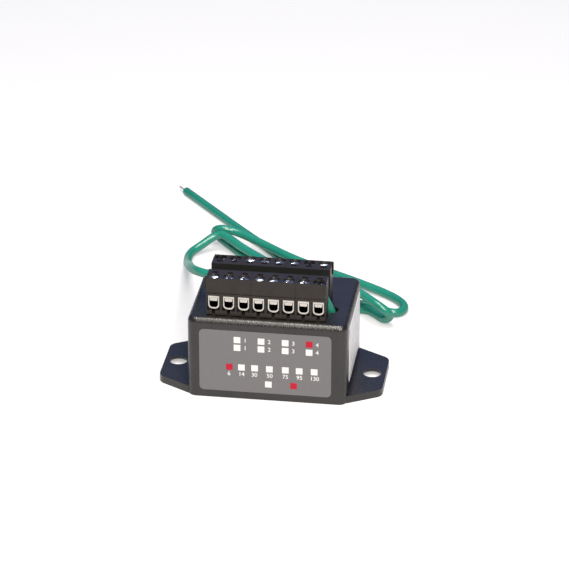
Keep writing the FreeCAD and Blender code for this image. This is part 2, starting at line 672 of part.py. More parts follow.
def wire_path(points):
    """Straight runs joined by tangent arcs, each as wide as its runs allow."""
    points = [Vector(*point) for point in points]
    runs = [(b - a).Length for a, b in zip(points, points[1:])]
    edges = []
    length = 0.0
    start = points[0]
    for i in range(1, len(points) - 1):
        back = (points[i - 1] - points[i]).normalize()
        ahead = (points[i + 1] - points[i]).normalize()
        turn = math.pi - back.getAngle(ahead)
        reach = 0.45 * min(runs[i - 1], runs[i])
        radius = reach / math.tan(turn / 2)
        first = points[i] + back * reach
        last = points[i] + ahead * reach
        inward = (back + ahead).normalize()
        centre = points[i] + inward * (radius / math.cos(turn / 2))
        edges.append(Part.LineSegment(start, first).toShape())
        edges.append(Part.Arc(first, centre - inward * radius, last).toShape())
        length += (first - start).Length + radius * turn
        start = last
        print("bend %2d: turn %5.1f degrees, radius %6.1f" % (i, math.degrees(turn), radius))
    edges.append(Part.LineSegment(start, points[-1]).toShape())
    length += (points[-1] - start).Length
    return Part.Wire(edges), length


def ground_wire():
    """The free wire as one swept tube, and the bare strands at its far end."""
    path, length = wire_path(WIRE_ROUTE)
    start = Vector(*WIRE_ROUTE[0])
    radius = size("wire_radius") + size("wire_corner")
    sides = int(size("wire_sides"))
    lean = Rotation(Vector(0, 0, 1), Vector(*WIRE_ROUTE[1]) - start)
    corners = []
    for i in range(sides + 1):
        angle = 2 * math.pi * (i % sides + 0.5) / sides
        corners.append(start + lean.multVec(Vector(math.cos(angle), math.sin(angle), 0) * radius))
    section = Part.makePolygon(corners)
    tube = doc.addObject("Part::Feature", "ground_wire")
    tube.Shape = path.makePipeShell([section], True, True)
    tube.Placement = FreeCAD.Placement()
    tube.Label = "ground_wire"
    parts.append(tube)
    expected = Part.Face(section).Area * length
    print("ground wire: length %.1f, volume %.1f of %.1f" % (length, tube.Shape.Volume, expected))
    if abs(tube.Shape.Volume - expected) > 0.005 * expected:
        raise RuntimeError("the ground wire is not its section times its length")
    end = Vector(*WIRE_ROUTE[-1])
    onward = (end - Vector(*WIRE_ROUTE[-2])).normalize()
    strands = rod("ground_wire_strands", end, end + onward * size("strand_length"), "strand_radius")
    strands.Label = "ground_wire_strands"
    parts.append(strands)


def build():
    housing()
    terminal_row("front", FRONT_ROW, size("front_face"), 0)
    terminal_row("rear", REAR_ROW, size("rear_face"), 180)
    circuit_board()
    diodes = suppressor_diodes()
    tail = ground_wire_tail()
    doc.recompute()
    potting([diodes, tail] + [item for item in parts if item.Label.startswith("contact_bars")])
    label("front_label", ("front_label_left", "-housing_depth/2-label_thickness", "front_label_low"),
          "front_label_width", "label_thickness", "front_label_tall")
    label("side_label", ("housing_width/2", "side_label_front", "side_label_low"),
          "label_thickness", "side_label_width", "side_label_tall")
    ground_wire()
    doc.recompute()


def check_and_write():
    """Nothing is written unless every object is sound."""
    for item in doc.Objects:
        if "Invalid" in item.State or "Error" in item.State:
            raise RuntimeError("%s is %s" % (item.Label, item.State))
    for item in parts:
        if item.Shape.isNull() or not item.Shape.isValid():
            raise RuntimeError("%s has no sound shape" % item.Label)
    os.makedirs("parts", exist_ok=True)
    for item in parts:
        item.Shape.exportStep("parts/%s.step" % item.Label)
    print("%d parts written" % len(parts))


build()
check_and_write()
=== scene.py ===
"""Whole house surge protector: looks, labels, wire, light and camera."""
import math

import bmesh
import bpy
from bpy.props import FloatProperty, FloatVectorProperty, IntProperty, PointerProperty
from mathutils import Matrix, Vector


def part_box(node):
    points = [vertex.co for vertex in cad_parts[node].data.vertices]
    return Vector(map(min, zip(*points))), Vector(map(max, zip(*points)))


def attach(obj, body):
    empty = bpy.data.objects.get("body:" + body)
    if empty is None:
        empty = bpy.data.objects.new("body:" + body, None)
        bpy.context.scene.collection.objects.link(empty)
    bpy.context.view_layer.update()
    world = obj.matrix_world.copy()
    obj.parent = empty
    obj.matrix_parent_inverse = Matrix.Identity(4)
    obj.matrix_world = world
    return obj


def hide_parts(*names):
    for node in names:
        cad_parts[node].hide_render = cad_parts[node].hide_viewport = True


bl_info = {
    "name": "Surge protector",
    "version": (1, 0, 0),
    "blender": (4, 5, 0),
    "location": "View3D > Sidebar > Protector",
    "description": "Builds the looks of a potted surge protector with screw terminals",
    "category": "Object",
}

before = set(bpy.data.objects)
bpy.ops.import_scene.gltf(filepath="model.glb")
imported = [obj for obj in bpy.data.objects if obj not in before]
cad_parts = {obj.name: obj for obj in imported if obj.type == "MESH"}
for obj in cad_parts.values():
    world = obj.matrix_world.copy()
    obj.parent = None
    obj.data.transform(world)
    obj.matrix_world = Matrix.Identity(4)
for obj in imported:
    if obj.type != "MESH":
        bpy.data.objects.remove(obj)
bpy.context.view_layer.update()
BODY = "base"
MM = 0.001

# The camera and its own right and ahead, fitted to the photograph's view.
CAMERA_LENS = 183.67
CAMERA_PLACE = (0.129366, -0.910712, 0.480159)
CAMERA_RIGHT = (0.990409, 0.138152, 0.002053)
CAMERA_AHEAD = (-0.123222, 0.889903, -0.439191)

# Area lights: name, place, width, height, power, colour. All aim at one point.
LIGHT_AIM = (0, 0, 0.02)
LIGHTS = [
    ("key", (0.24, -0.86, 0.88), 0.36, 0.80, 19.0, (1.0, 0.91, 0.81)),
    ("overhead", (0.0, -0.10, 0.95), 0.45, 0.50, 9.5, (1.0, 0.96, 0.91)),
    ("sky", (-0.15, 1.00, 0.70), 1.20, 1.10, 1.7, (0.32, 0.48, 1.0)),
]
WORLD_COLOUR = (0.32, 0.45, 1.0, 1.0)
WORLD_STRENGTH = 0.14
FLOOR_GLOW = 0.42

# Moulded grain: noise scales of the fine grain and the broad patches, and the bump's depth.
FINE_GRAIN = 5200.0
BROAD_GRAIN = 260.0
GRAIN_DEPTH = 0.00012

# Where a terminal's shade sets in and where it is full, in metres.
ENTRY_SHADE = (0.00036, 0.00085)  # behind the entry face
MIDDLE_SHADE = (0.0026, 0.0031)  # from the middle between the rows
SIDE_SHADE = (0.0021, 0.0023)  # to either side of a pole's centre
CHANNEL_SHADE = (0.0023, 0.0028)  # in the channel between the rows, from its middle
# The black of painted shade in the cavities.
CAVITY_SHADE_BLACK = (0.0015, 0.0015, 0.0015, 1.0)
METAL_FADE = 0.0002  # over which a clamp or bar goes dark

SCREW_RADIUS = 0.00183
SIDE_LABEL_CORNER = 0.0012
CHECK_CORNER = 0.00008
PLATE_BEVEL = 0.00002

# Centre line of the ground wire, in millimetres. It lies 0.5 mm from the CAD tube's on average
# and 3.6 mm at most.
WIRE_ROUTE = [
    (19.8, -7.0, 29.4), (18.8, -7.0, 31.6), (16.6, -7.3, 36.0), (10.0, -7.45, 39.4),
    (-1.0, -7.45, 40.3), (-12.5, -7.45, 40.1), (-21.85, -7.5, 39.9), (-27.6, -1.2, 38.2),
    (-31.4, 13.0, 32.3), (-35.2, 33.0, 23.3), (-39.4, 54.5, 13.2), (-43.2, 74.0, 4.4),
    (-45.0, 88.0, 1.6), (-41.3, 91.9, 3.1), (-35.3, 96.5, 6.7), (-31.1, 94.1, 6.5),
    (-24.9, 88.1, 5.1), (-12.4, 78.7, 3.6), (2.2, 65.8, 2.4), (16.3, 54.7, 1.8),
    (27.4, 54.0, 1.8), (33.5, 48.9, 2.0), (37.9, 49.1, 1.6), (39.8, 53.7, 1.6),
    (37.7, 58.8, 1.6), (31.6, 64.3, 1.8), (20.4, 70.6, 2.5), (6.5, 76.9, 3.6),
    (-6.5, 83.2, 4.9), (-18.0, 92.5, 5.4), (-28.1, 99.4, 6.3), (-34.7, 98.3, 8.1),
    (-37.8, 100.9, 5.3), (-35.1, 102.5, 1.6), (-26.1, 91.3, 1.6), (-9.6, 65.0, 1.6),
    (5.0, 56.3, 1.6), (17.7, 49.8, 1.6), (26.1, 50.8, 1.6), (29.8, 47.5, 1.6),
    (33.3, 43.2, 1.6), (35.7, 41.6, 3.8), (34.6, 39.8, 6.7), (28.5, 42.3, 9.5),
    (18.7, 56.6, 7.8), (9.7, 65.3, 4.5), (0.5, 71.5, 1.8), (-14.5, 94.6, 1.6),
    (-27.5, 109.6, 1.6), (-41.6, 127.0, 1.6), (-55.5, 144.2, 1.6),
]

# Check boxes on the front label: X and Z of the centre, filled with red or not.
CHECK_BOXES = [
    (-10.07, 22.24, False), (-1.88, 22.24, False), (6.32, 22.26, False), (14.46, 22.28, True),
    (-10.07, 19.32, False), (-1.90, 19.30, False), (6.33, 19.29, False), (14.46, 19.24, False),
    (-12.74, 11.96, True), (-8.58, 11.96, False), (-4.10, 11.97, False), (0.95, 11.96, False),
    (6.40, 11.96, False), (11.12, 11.95, False), (16.22, 11.95, False),
    (0.60, 6.14, False), (9.20, 6.15, True),
]

# Plain numbers on the front label: what, X and Z of the middle.
NUMBERS = [
    ("6", -12.87, 9.4), ("14", -8.59, 9.4), ("30", -4.19, 9.4), ("50", 1.05, 9.4),
    ("75", 6.41, 9.4), ("95", 11.24, 9.4), ("130", 16.35, 9.4),
    ("1", -7.3, 22.2), ("2", 0.9, 22.2), ("3", 9.1, 22.2), ("4", 17.2, 22.2),
    ("1", -7.3, 19.3), ("2", 0.9, 19.3), ("3", 9.1, 19.3), ("4", 17.2, 19.3),
]

# How each clamp screw catches the light: lit heads are a lighter copy of the zinc and shaded ones a
# darker copy, painted light and shade.
SCREW_LOOKS = {
    "front": ("painted_lit", "blue", "blue", "painted_lit", "blue", "blue", "blue", "painted_dark"),
    "rear": ("painted_dark", "painted_dark", "painted_lit", "blue", "blue", "blue", "painted_dark", "blue"),
}


class ProtectorSizes(bpy.types.PropertyGroup):
    """Sizes of the pieces that Blender makes, in metres."""

    wire_diameter: FloatProperty(
        name="Wire", description="Over the insulation", default=0.0031, unit="LENGTH")
    strand_diameter: FloatProperty(
        name="Strand", description="One copper strand", default=0.00022, unit="LENGTH")
    strand_count: IntProperty(
        name="Strands", description="Strands round the middle one", default=6)
    label_corner: FloatProperty(
        name="Label corner", description="Corner radius of a label", default=0.0016,
        unit="LENGTH")
    check_side: FloatProperty(
        name="Check box", description="Side of a printed box", default=0.0023, unit="LENGTH")
    ink: FloatProperty(
        name="Ink", description="How far print stands off its label", default=0.00002,
        unit="LENGTH")
    digit_height: FloatProperty(
        name="Digits", description="Size of the printed numbers", default=0.0021, unit="LENGTH")
    floor_side: FloatProperty(
        name="Floor", description="Side of the floor", default=6.0, unit="LENGTH")


class ProtectorColours(bpy.types.PropertyGroup):
    """Base colours, linear."""

    housing: FloatVectorProperty(
        name="Housing", description="Black moulded box", subtype="COLOR",
        default=(0.007, 0.006, 0.0055))
    block: FloatVectorProperty(
        name="Blocks", description="Black terminal blocks", subtype="COLOR",
        default=(0.012, 0.009, 0.0065))
    wire: FloatVectorProperty(
        name="Wire", description="Green insulation", subtype="COLOR", default=(0.010, 0.165, 0.115))
    tin: FloatVectorProperty(
        name="Tin", description="Clamps and contact bars", subtype="COLOR",
        default=(0.66, 0.63, 0.575))
    zinc: FloatVectorProperty(
        name="Zinc", description="Clamp screws", subtype="COLOR", default=(0.74, 0.78, 0.86))
    label_grey: FloatVectorProperty(
        name="Front label", description="Grey print", subtype="COLOR",
        default=(0.152, 0.150, 0.155))
    label_white: FloatVectorProperty(
        name="White print", description="Side label and boxes", subtype="COLOR",
        default=(0.70, 0.70, 0.70))
    red: FloatVectorProperty(
        name="Red print", description="Filled boxes", subtype="COLOR", default=(0.42, 0.006, 0.028))
    floor: FloatVectorProperty(
        name="Floor", description="Pale floor", subtype="COLOR", default=(0.45, 0.45, 0.45))


def settings():
    """The scene's sizes and colours."""
    return bpy.context.scene.protector_sizes, bpy.context.scene.protector_colours


def rgba(colour):
    return (colour[0], colour[1], colour[2], 1.0)


# ---------------------------------------------------------------- materials

def grain_group():
    """Fine moulded grain: a bump normal and a small change of roughness."""
    if "Moulded grain" in bpy.data.node_groups:
        return bpy.data.node_groups["Moulded grain"]
    group = bpy.data.node_groups.new("Moulded grain", "ShaderNodeTree")
    face = group.interface
    face.new_socket("Scale", in_out="INPUT", socket_type="NodeSocketFloat").default_value = 1.0
    face.new_socket("Strength", in_out="INPUT", socket_type="NodeSocketFloat").default_value = 0.2
    face.new_socket("Normal", in_out="OUTPUT", socket_type="NodeSocketVector")
    face.new_socket("Speckle", in_out="OUTPUT", socket_type="NodeSocketFloat")
    face.new_socket("Patch", in_out="OUTPUT", socket_type="NodeSocketFloat")
    nodes = group.nodes
    links = group.links
    inside = nodes.new("NodeGroupInput")
    outside = nodes.new("NodeGroupOutput")
    place = nodes.new("ShaderNodeTexCoord")
    stretch = nodes.new("ShaderNodeVectorMath")
    stretch.operation = "SCALE"
    links.new(place.outputs["Object"], stretch.inputs[0])
    links.new(inside.outputs["Scale"], stretch.inputs["Scale"])
    fine = nodes.new("ShaderNodeTexNoise")
    fine.inputs["Scale"].default_value = FINE_GRAIN
    fine.inputs["Detail"].default_value = 2.0
    links.new(stretch.outputs[0], fine.inputs["Vector"])
    broad = nodes.new("ShaderNodeTexNoise")
    broad.inputs["Scale"].default_value = BROAD_GRAIN
    broad.inputs["Detail"].default_value = 3.0
    links.new(stretch.outputs[0], broad.inputs["Vector"])
    bump = nodes.new("ShaderNodeBump")
    bump.inputs["Distance"].default_value = GRAIN_DEPTH
    links.new(inside.outputs["Strength"], bump.inputs["Strength"])
    links.new(fine.outputs["Fac"], bump.inputs["Height"])
    links.new(bump.outputs["Normal"], outside.inputs["Normal"])
    links.new(fine.outputs["Fac"], outside.inputs["Speckle"])
    links.new(broad.outputs["Fac"], outside.inputs["Patch"])
    return group


def new_material(name):
    material = bpy.data.materials.new(name)
    material.use_nodes = True
    shader = material.node_tree.nodes["Principled BSDF"]
    return material, shader, material.node_tree


def ramp(tree, source, low, high, start=0.3, end=0.7):
    """A grey value between two limits as a source goes from start to end."""
    node = tree.nodes.new("ShaderNodeMapRange")
    node.inputs["From Min"].default_value = start
    node.inputs["From Max"].default_value = end
    node.inputs["To Min"].default_value = low
    node.inputs["To Max"].default_value = high
    tree.links.new(source, node.inputs["Value"])
    return node.outputs["Result"]


def tint(tree, source, dark, light):
    """A colour between two as a 0 to 1 source rises."""
    node = tree.nodes.new("ShaderNodeMix")
    node.data_type = "RGBA"
    node.inputs["A"].default_value = dark
    node.inputs["B"].default_value = light
    tree.links.new(source, node.inputs["Factor"])
    return node.outputs["Result"]


def calc(tree, operation, *values):
    """One sum on sockets or numbers."""
    node = tree.nodes.new("ShaderNodeMath")
    node.operation = operation
    for place, value in enumerate(values):
        if isinstance(value, (int, float)):
            node.inputs[place].default_value = value
        else:
            tree.links.new(value, node.inputs[place])
    return node.outputs[0]


def row_group():
    """Where a point lies on its terminal, in metres.

    Inward is the depth behind the entry face, Aside the way from the pole's centre along the
    row, Back the way from the screw's axis, Height above the floor, and Middle the way from
    the middle between the two rows.
    """
    if "Terminal place" in bpy.data.node_groups:
        return bpy.data.node_groups["Terminal place"]
    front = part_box("terminal_block_front_left")[0][1]
    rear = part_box("terminal_block_rear_left")[1][1]
    middle = (front + rear) / 2
    low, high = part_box("clamp_screw_front_1")
    first = (low[0] + high[0]) / 2
    axis = middle - (low[1] + high[1]) / 2
    low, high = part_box("clamp_screw_front_8")
    pitch = ((low[0] + high[0]) / 2 - first) / 7
    group = bpy.data.node_groups.new("Terminal place", "ShaderNodeTree")
    for name in ("Inward", "Aside", "Back", "Height", "Middle"):
        group.interface.new_socket(name, in_out="OUTPUT", socket_type="NodeSocketFloat")
    outside = group.nodes.new("NodeGroupOutput")
    place = group.nodes.new("ShaderNodeTexCoord")
    parts = group.nodes.new("ShaderNodeSeparateXYZ")
    group.links.new(place.outputs["Object"], parts.inputs[0])
    across, deep, high = parts.outputs
    pole = calc(group, "MULTIPLY", calc(group, "SUBTRACT", across, first), 1 / pitch)
    pole = calc(group, "MINIMUM", calc(group, "MAXIMUM", calc(group, "ROUND", pole), 0.0), 7.0)
    centre = calc(group, "ADD", calc(group, "MULTIPLY", pole, pitch), first)
    offset = calc(group, "SUBTRACT", deep, middle)
    out = calc(group, "ABSOLUTE", offset)
    back = calc(group, "MULTIPLY", calc(group, "SUBTRACT", out, axis), calc(group, "SIGN", offset))
    for name, value in (("Inward", calc(group, "SUBTRACT", (rear - front) / 2, out)),
                        ("Aside", calc(group, "SUBTRACT", across, centre)), ("Back", back),
                        ("Height", high), ("Middle", out)):
        group.links.new(value, outside.inputs[name])
    return group


def row_place(tree):
    """The outputs of the terminal place group, in one material."""
    node = tree.nodes.new("ShaderNodeGroup")
    node.node_tree = row_group()
    return node.outputs


def shade(tree, colour, unshaded):
    """A colour socket darkened with painted shade, black where its last input falls to 0."""
    node = tree.nodes.new("ShaderNodeMix")
    node.data_type = "RGBA"
    node.inputs["A"].default_value = CAVITY_SHADE_BLACK
    tree.links.new(colour, node.inputs["B"])
    tree.links.new(unshaded, node.inputs["Factor"])
    return node.outputs["Result"]


def grain(tree, scale, strength):
    node = tree.nodes.new("ShaderNodeGroup")
    node.node_tree = grain_group()
    node.inputs["Scale"].default_value = scale
    node.inputs["Strength"].default_value = strength
    return node


def plastic(name, colour, rough, scale, strength, shine=0.5, recess=False, glints=0.05):
    """Moulded plastic with grain and faint patches of handling; recess paints shade into it: black
    in the terminals' cavities, darker in the channel between the rows.
    """
    material, shader, tree = new_material(name)
    texture = grain(tree, scale, strength)
    patch = ramp(tree, texture.outputs["Patch"], 0.0, 1.0)
    lighter = tuple(min(1.0, part * 1.35 + 0.002) for part in colour)
    body = tint(tree, patch, rgba(colour), rgba(lighter))
    gloss = ramp(tree, texture.outputs["Speckle"], rough - glints, rough + glints, 0.38, 0.62)
    shader.inputs["Specular IOR Level"].default_value = shine
    # Painted shade: black behind the entry faces, darker in the channel between the rows, and
    # rougher where shaded.
    if recess:
        place = row_place(tree)
        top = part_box("terminal_block_front_left")[1][2]
        inside = ramp(tree, place["Inward"], 0.0, 1.0, *ENTRY_SHADE)
        aside = calc(tree, "ABSOLUTE", place["Aside"])
        for limit in (ramp(tree, place["Middle"], 0.0, 1.0, *MIDDLE_SHADE),
                      ramp(tree, place["Height"], 1.0, 0.0, top - 0.0010, top - 0.0003),
                      ramp(tree, aside, 1.0, 0.0, *SIDE_SHADE)):
            inside = calc(tree, "MULTIPLY", inside, limit)
        unshaded = calc(tree, "SUBTRACT", 1.0, inside)
        channel = ramp(tree, place["Middle"], 0.25, 1.0, *CHANNEL_SHADE)
        unshaded = calc(tree, "MULTIPLY", unshaded, channel)
        body = shade(tree, body, unshaded)
        gloss = calc(tree, "MAXIMUM", gloss, calc(tree, "SUBTRACT", 1.0, unshaded))
    tree.links.new(body, shader.inputs["Base Color"])
    tree.links.new(gloss, shader.inputs["Roughness"])
    tree.links.new(texture.outputs["Normal"], shader.inputs["Normal"])
    return material


def metal(name, colour, rough, scale, strength, mirror=1.0, shade_from=None):
    """Plated metal with a drawn grain; shade_from paints shade on it, black from this far behind
    the entry face.
    """
    material, shader, tree = new_material(name)
    texture = grain(tree, scale, strength)
    patch = ramp(tree, texture.outputs["Patch"], 0.0, 1.0)
    darker = tuple(part * 0.82 for part in colour)
    body = tint(tree, patch, rgba(darker), rgba(colour))
    # Painted shade: black where the clamp or bar lies deep in its cavity.
    if shade_from is not None:
        unshaded = ramp(tree, row_place(tree)["Inward"], 1.0, 0.0, shade_from, shade_from + METAL_FADE)
        body = shade(tree, body, unshaded)
    tree.links.new(body, shader.inputs["Base Color"])
    tree.links.new(ramp(tree, texture.outputs["Speckle"], rough - 0.06, rough + 0.08),
                   shader.inputs["Roughness"])
    tree.links.new(texture.outputs["Normal"], shader.inputs["Normal"])
    shader.inputs["Metallic"].default_value = mirror
    return material


def screw_material(name, colour, dome, lean):
    """Zinc-plated head, slightly domed and out of true, with painted shade that darkens its cross
    recess and its sides below the top.
    """
    material, shader, tree = new_material(name)
    texture = grain(tree, 0.6, 0.2)
    place = row_place(tree)
    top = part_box("clamp_screw_front_1")[1][2]
    flat = ramp(tree, place["Height"], 0.0, 1.0, top - 0.00018, top - 0.00006)
    slope = tree.nodes.new("ShaderNodeCombineXYZ")
    for axis, (socket, tip) in enumerate(((place["Aside"], lean[0]), (place["Back"], lean[1]))):
        rise = calc(tree, "MULTIPLY_ADD", socket, dome / SCREW_RADIUS, tip)
        tree.links.new(rise, slope.inputs[axis])
    slope.inputs[2].default_value = 1.0
    turn = tree.nodes.new("ShaderNodeVectorTransform")
    turn.vector_type = "NORMAL"
    turn.convert_from = "OBJECT"
    turn.convert_to = "WORLD"
    tree.links.new(slope.outputs[0], turn.inputs[0])
    real = tree.nodes.new("ShaderNodeNewGeometry")
    # On a vector mix, inputs 4 and 5 are A and B, and output 1 is the result.
    pick = tree.nodes.new("ShaderNodeMix")
    pick.data_type = "VECTOR"
    tree.links.new(flat, pick.inputs["Factor"])
    tree.links.new(real.outputs["Normal"], pick.inputs[4])
    tree.links.new(turn.outputs[0], pick.inputs[5])
    bump = tree.nodes.new("ShaderNodeBump")
    bump.inputs["Strength"].default_value = 0.25
    bump.inputs["Distance"].default_value = 0.00004
    tree.links.new(texture.outputs["Patch"], bump.inputs["Height"])
    tree.links.new(pick.outputs[1], bump.inputs["Normal"])
    tree.links.new(bump.outputs["Normal"], shader.inputs["Normal"])
    body = tint(tree, ramp(tree, texture.outputs["Patch"], 0.0, 1.0),
                rgba(tuple(part * 0.7 for part in colour)), rgba(colour))
    # Painted shade: darker below the top of the head, in the cross recess and down the sides.
    unshaded = ramp(tree, place["Height"], 0.12, 1.0, top - 0.0004, top - 0.00008)
    tree.links.new(shade(tree, body, unshaded), shader.inputs["Base Color"])
    tree.links.new(ramp(tree, texture.outputs["Speckle"], 0.20, 0.34), shader.inputs["Roughness"])
    shader.inputs["Metallic"].default_value = 1.0
    return material


def print_material(name, colour, rough, smudge=None):
    """Ink or paper: nearly flat colour with a soft fibre grain; smudge adds worn grey streaks."""
    material, shader, tree = new_material(name)
    texture = grain(tree, 0.5, 0.05)
    darker = tuple(part * 0.93 for part in colour)
    mix = ramp(tree, texture.outputs["Speckle"], 0.0, 1.0)
    body = tint(tree, mix, rgba(darker), rgba(colour))
    if smudge:
        place = tree.nodes.new("ShaderNodeTexCoord")
        squeeze = tree.nodes.new("ShaderNodeVectorMath")
        squeeze.operation = "MULTIPLY"
        squeeze.inputs[1].default_value = smudge
        tree.links.new(place.outputs["Object"], squeeze.inputs[0])
        streak = tree.nodes.new("ShaderNodeTexNoise")
        streak.inputs["Scale"].default_value = 1.0
        streak.inputs["Detail"].default_value = 1.0
        tree.links.new(squeeze.outputs[0], streak.inputs["Vector"])
        worn = ramp(tree, streak.outputs["Fac"], 0.0, 0.45, 0.54, 0.66)
        veil = tree.nodes.new("ShaderNodeMix")
        veil.data_type = "RGBA"
        tree.links.new(worn, veil.inputs["Factor"])
        tree.links.new(body, veil.inputs["A"])
        veil.inputs["B"].default_value = (0.22, 0.22, 0.24, 1.0)
        body = veil.outputs["Result"]
    tree.links.new(body, shader.inputs["Base Color"])
    tree.links.new(texture.outputs["Normal"], shader.inputs["Normal"])
    shader.inputs["Roughness"].default_value = rough
    shader.inputs["Specular IOR Level"].default_value = 0.25
    return material


def wire_material(colour):
    """Green extruded insulation with a faint grain and scuffs."""
    material, shader, tree = new_material("Green insulation")
    texture = grain(tree, 0.25, 0.06)
    patch = ramp(tree, texture.outputs["Patch"], 0.0, 1.0)
    lighter = tuple(min(1.0, part * 1.25 + 0.004) for part in colour)
    tree.links.new(tint(tree, patch, rgba(colour), rgba(lighter)), shader.inputs["Base Color"])
    tree.links.new(ramp(tree, texture.outputs["Patch"], 0.26, 0.36), shader.inputs["Roughness"])
    tree.links.new(texture.outputs["Normal"], shader.inputs["Normal"])
    view = tree.nodes.new("ShaderNodeLayerWeight")
    tree.links.new(ramp(tree, view.outputs["Facing"], 1.0, 0.0, 0.45, 0.85),
                   shader.inputs["Coat Weight"])
    shader.inputs["Coat Roughness"].default_value = 0.24
    shader.inputs["Specular IOR Level"].default_value = 0.03
    shader.inputs["Subsurface Weight"].default_value = 0.05
    shader.inputs["Subsurface Radius"].default_value = (0.0004, 0.0009, 0.0006)
    return material


def dress(node, material):
    """Give a CAD node a material."""
    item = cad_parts[node]
    if not item.material_slots:
        item.data.materials.append(material)
    for slot in item.material_slots:
        slot.material = material


def nodes_named(start):
    """The CAD nodes whose names start so, in order."""
    return sorted(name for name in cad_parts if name.startswith(start))


# ---------------------------------------------------------------- pieces

def new_object(name, mesh, material, slot, *replaced):
    """A piece on the base body, and the CAD nodes it stands for, which it hides; slot is not used.
    """
    item = bpy.data.objects.new(name, mesh)
    bpy.context.scene.collection.objects.link(item)
    item.data.materials.append(material)
    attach(item, BODY)
    if replaced:
        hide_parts(*replaced)
    return item


def rounded_plate(name, low, high, corner, bevel):
    """A thin plate between two corners, rounded in its plane; its thin side sets the plane."""
    spans = [high[i] - low[i] for i in range(3)]
    thin = spans.index(min(spans))
    flat = [i for i in range(3) if i != thin]
    outline = []
    steps = 8
    for quarter, (a, b) in enumerate(((1, 1), (0, 1), (0, 0), (1, 0))):
        middle = [(high[flat[0]] - corner if a else low[flat[0]] + corner),
                  (high[flat[1]] - corner if b else low[flat[1]] + corner)]
        for step in range(steps + 1):
            angle = math.radians(90 * quarter + 90 * step / steps)
            outline.append((middle[0] + corner * math.cos(angle),
                            middle[1] + corner * math.sin(angle)))
    mesh = bmesh.new()
    rings = []
    for depth in (low[thin], high[thin]):
        ring = []
        for across, up in outline:
            place = [0.0, 0.0, 0.0]
            place[flat[0]] = across
            place[flat[1]] = up
            place[thin] = depth
            ring.append(mesh.verts.new(place))
        rings.append(ring)
    count = len(outline)
    mesh.faces.new(rings[0])
    mesh.faces.new(rings[1])
    for i in range(count):
        after = (i + 1) % count
        mesh.faces.new((rings[0][i], rings[0][after], rings[1][after], rings[1][i]))
    bmesh.ops.recalc_face_normals(mesh, faces=mesh.faces)
    if bevel:
        edges = [edge for edge in mesh.edges if edge.is_manifold and
                 edge.calc_face_angle(0.0) > math.radians(60)]
        bmesh.ops.bevel(mesh, geom=edges, offset=bevel, segments=2, profile=0.5, affect="EDGES")
    data = bpy.data.meshes.new(name)
    mesh.to_mesh(data)
    mesh.free()
    return data


def number_mesh(text, height, middle, ink):
    """A printed number, its middle at a point on the front label."""
    curve = bpy.data.curves.new("number_" + text, "FONT")
    curve.body = text
    curve.size = height
    curve.align_x = "CENTER"
    curve.align_y = "CENTER"
    curve.offset = height * 0.012
    item = bpy.data.objects.new("number", curve)
    bpy.context.scene.collection.objects.link(item)
    bpy.context.view_layer.update()
    mesh = bpy.data.meshes.new_from_object(item)
    bpy.data.objects.remove(item)
    stand = Matrix.Rotation(math.radians(90), 4, "X")
    mesh.transform(Matrix.Translation(middle + Vector((0, -ink, 0))) @ stand)
    mesh.name = "number_" + text
    return mesh


def wire_curve(name, points, diameter):
    """A round wire along a smooth NURBS centre line."""
    curve = bpy.data.curves.new(name, "CURVE")
    curve.dimensions = "3D"
    curve.bevel_depth = diameter / 2
    curve.bevel_resolution = 6
    curve.resolution_u = 10
    curve.use_fill_caps = True
    spline = curve.splines.new("NURBS")
    spline.points.add(len(points) - 1)
    for target, point in zip(spline.points, points):
        target.co = (point[0], point[1], point[2], 1.0)
    spline.order_u = 3
    spline.use_endpoint_u = True
    return curve


class PROTECTOR_OT_stage(bpy.types.Operator):
    """Floor, lights, world and camera"""

    bl_idname = "protector.stage"
    bl_label = "Stage"

    def execute(self, context):
        sizes, colours = settings()
        side = sizes.floor_side / 2
        mesh = bpy.data.meshes.new("floor")
        corners = [(-side, -side, 0), (side, -side, 0), (side, side, 0), (-side, side, 0)]
        mesh.from_pydata(corners, [], [(0, 1, 2, 3)])
        floor = bpy.data.objects.new("floor", mesh)
        context.scene.collection.objects.link(floor)
        material, shader, tree = new_material("Pale floor")
        texture = grain(tree, 0.02, 0.02)
        pale = rgba(colours.floor)
        painted_dark = tuple(part * 0.99 for part in pale[:3]) + (1.0,)
        body = tint(tree, texture.outputs["Patch"], painted_dark, pale)
        tree.links.new(body, shader.inputs["Base Color"])
        shader.inputs["Roughness"].default_value = 0.6
        shader.inputs["Specular IOR Level"].default_value = 0.2
        shader.inputs["Emission Color"].default_value = (1.0, 1.0, 1.0, 1.0)
        shader.inputs["Emission Strength"].default_value = FLOOR_GLOW
        mesh.materials.append(material)

        world = bpy.data.worlds.new("Studio")
        context.scene.world = world
        world.use_nodes = True
        back = world.node_tree.nodes["Background"]
        back.inputs["Color"].default_value = WORLD_COLOUR
        back.inputs["Strength"].default_value = WORLD_STRENGTH
        context.scene.view_settings.view_transform = "Standard"

        for name, place, width, height, power, colour in LIGHTS:
            data = bpy.data.lights.new(name, "AREA")
            data.shape = "RECTANGLE"
            data.size = width
            data.size_y = height
            data.energy = power
            data.color = colour
            lamp = bpy.data.objects.new(name, data)
            lamp.location = place
            direction = Vector(LIGHT_AIM) - Vector(place)
            lamp.rotation_euler = direction.to_track_quat("-Z", "Y").to_euler()
            context.scene.collection.objects.link(lamp)

        camera = bpy.data.cameras.new("camera")
        camera.sensor_width = 36.0
        camera.lens = CAMERA_LENS
        camera.clip_start = 0.01
        camera.clip_end = 20.0
        item = bpy.data.objects.new("camera", camera)
        right = Vector(CAMERA_RIGHT).normalized()
        ahead = Vector(CAMERA_AHEAD).normalized()
        up = right.cross(ahead).normalized()
        turn = Matrix((right, up, -ahead)).transposed().to_4x4()
        item.matrix_world = Matrix.Translation(Vector(CAMERA_PLACE)) @ turn
        context.scene.collection.objects.link(item)
        context.scene.camera = item
        return {"FINISHED"}


